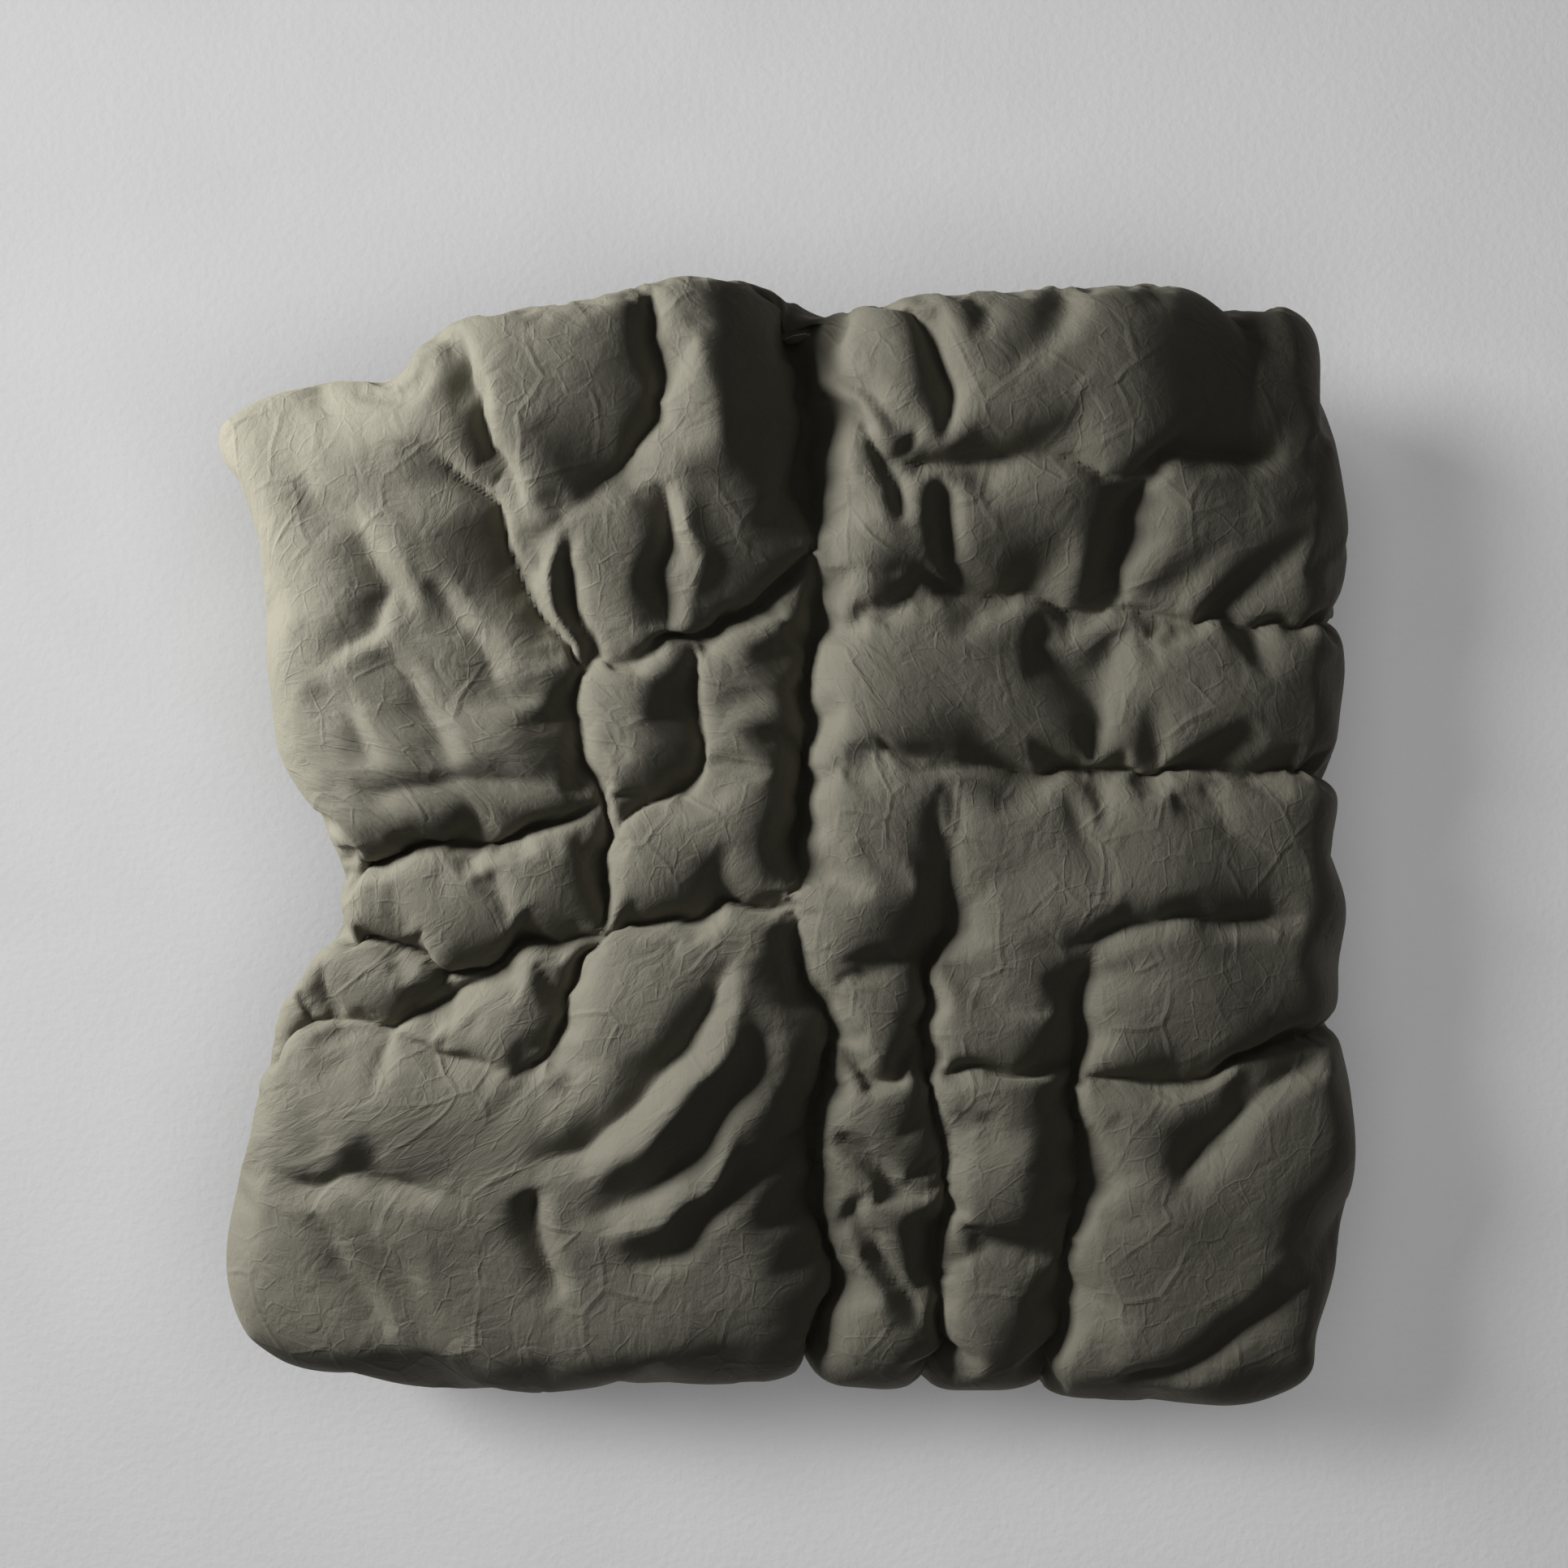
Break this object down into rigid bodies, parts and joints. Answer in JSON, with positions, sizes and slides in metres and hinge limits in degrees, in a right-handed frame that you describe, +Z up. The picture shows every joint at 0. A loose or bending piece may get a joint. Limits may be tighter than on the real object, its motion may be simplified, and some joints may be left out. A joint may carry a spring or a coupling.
{
  "type": "duvet on a bed",
  "caption": "Double duvet in a buttonless cotton cover, draped over a mattress and pillows, with a walled feather and down insert, corner ties, a fold-back head end and a poppered foot opening.",
  "frame": {"origin": "on the flat underside at the height of the mattress top, on the lengthwise middle line, halfway between the head and foot edges", "axes": "+Z up, +Y towards the head of the bed, +X to the right seen from above with the head end away"},
  "size_m": [2.0466, 2.0364, 0.5733],
  "materials": {
    "cover_cotton": "matt washed percale, olive grey",
    "hem_cotton": "matt washed percale, folded and stitched",
    "shell_cotton": "smooth down-proof cotton",
    "wall_tape": "thin woven wall strip",
    "down_filling": "loose feather and down",
    "ribbon": "matt cotton tape",
    "label_satin": "blank satin",
    "popper_plastic": "moulded, satin"
  },
  "bodies": {
    "body": {"cover_top_body": "cover_cotton", "cover_bottom_body": "cover_cotton", "insert_shell_top_body": "shell_cotton", "insert_shell_bottom_body": "shell_cotton", "insert_cross_wall_1": "wall_tape", "insert_cross_wall_2": "wall_tape", "insert_cross_wall_3": "wall_tape", "insert_long_wall_2_1": "wall_tape", "insert_long_wall_2_2": "wall_tape", "insert_long_wall_2_3": "wall_tape", "filling_2_1": "down_filling", "filling_2_2": "down_filling", "filling_2_3": "down_filling", "filling_2_4": "down_filling", "insert_long_wall_3_1": "wall_tape", "insert_long_wall_3_2": "wall_tape", "insert_long_wall_3_3": "wall_tape", "filling_3_1": "down_filling", "filling_3_2": "down_filling", "filling_3_3": "down_filling", "filling_3_4": "down_filling", "insert_long_wall_4_1": "wall_tape", "insert_long_wall_4_2": "wall_tape", "insert_long_wall_4_3": "wall_tape", "filling_4_1": "down_filling", "filling_4_2": "down_filling", "filling_4_3": "down_filling", "filling_4_4": "down_filling", "insert_loop_foot_left": "ribbon", "cover_tie_foot_left": "ribbon", "insert_loop_foot_right": "ribbon", "cover_tie_foot_right": "ribbon", "care_label": "label_satin", "hem_band_inner": "hem_cotton", "popper_stud_1": "popper_plastic", "popper_stud_2": "popper_plastic", "popper_stud_3": "popper_plastic", "popper_stud_4": "popper_plastic", "popper_stud_5": "popper_plastic"},
    "head_end": {"cover_top_head": "cover_cotton", "cover_bottom_head": "cover_cotton", "insert_shell_top_head": "shell_cotton", "insert_shell_bottom_head": "shell_cotton", "insert_long_wall_1_1": "wall_tape", "insert_long_wall_1_2": "wall_tape", "insert_long_wall_1_3": "wall_tape", "filling_1_1": "down_filling", "filling_1_2": "down_filling", "filling_1_3": "down_filling", "filling_1_4": "down_filling", "insert_loop_head_left": "ribbon", "cover_tie_head_left": "ribbon", "insert_loop_head_right": "ribbon", "cover_tie_head_right": "ribbon"},
    "foot_flap": {"hem_band_outer": "hem_cotton", "popper_socket_1": "popper_plastic", "popper_socket_2": "popper_plastic", "popper_socket_3": "popper_plastic", "popper_socket_4": "popper_plastic", "popper_socket_5": "popper_plastic"}
  },
  "joints": [
    {"name": "head_fold", "type": "hinge", "parent": "body", "child": "head_end", "pos_m": [0, 0.528, 0.072], "axis": [1, 0, 0], "range_deg": [0, 110]},
    {"name": "foot_opening", "type": "hinge", "parent": "body", "child": "foot_flap", "pos_m": [0, -0.93432, -0.20165], "axis": [-1, 0, 0], "range_deg": [0, 75]}
  ]
}
